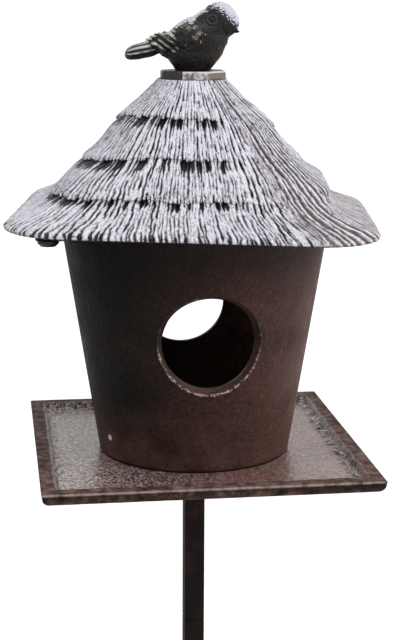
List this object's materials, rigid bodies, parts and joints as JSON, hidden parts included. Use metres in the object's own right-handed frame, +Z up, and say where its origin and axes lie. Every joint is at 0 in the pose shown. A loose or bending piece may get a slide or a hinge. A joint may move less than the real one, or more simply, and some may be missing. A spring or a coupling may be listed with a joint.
{
  "type": "cast bird feeder on a post",
  "caption": "Cast garden bird feeder: tapered pot with a round opening front and back, square tray, square thatch-pattern roof with a small bird on top, on a slim square post.",
  "frame": {"origin": "centre of the post's foot, at ground level", "axes": "+Z up along the post; the front opening faces -Y; the bird looks towards +X"},
  "size_m": [0.2349, 0.235, 0.7505],
  "materials": {
    "post_paint": "dark brown paint on steel bar",
    "pot_iron": "semi-gloss dark brown paint on a sand casting",
    "tray_iron": "glossy lumpy dark brown enamel",
    "thatch_iron": "dark brown with pale grey brushed over the ridges",
    "bird_iron": "dark brown with silver brushed over the raised parts",
    "fastener_dark": "dark paint",
    "fastener_steel": "dull zinc"
  },
  "bodies": {
    "root": {"post_lower": "post_paint", "post_upper": "post_paint", "support_plate": "post_paint", "post_joint_stud": "fastener_steel", "clamp_stud": "fastener_steel", "clamp_washer": "fastener_steel", "clamp_nut": "fastener_steel", "tray": "tray_iron", "pot_floor": "pot_iron", "pot_front_wall": "pot_iron", "pot_right_wall": "pot_iron", "pot_back_wall": "pot_iron", "pot_left_wall": "pot_iron", "roof_front": "thatch_iron", "roof_right": "thatch_iron", "roof_back": "thatch_iron", "roof_left": "thatch_iron", "roof_crown": "thatch_iron", "cap_plate": "thatch_iron", "roof_bolt_left": "fastener_dark", "roof_bolt_right": "fastener_dark", "bird": "bird_iron", "bird_stud": "fastener_steel", "bird_washer": "fastener_steel", "bird_nut": "fastener_steel"}
  },
  "joints": []
}
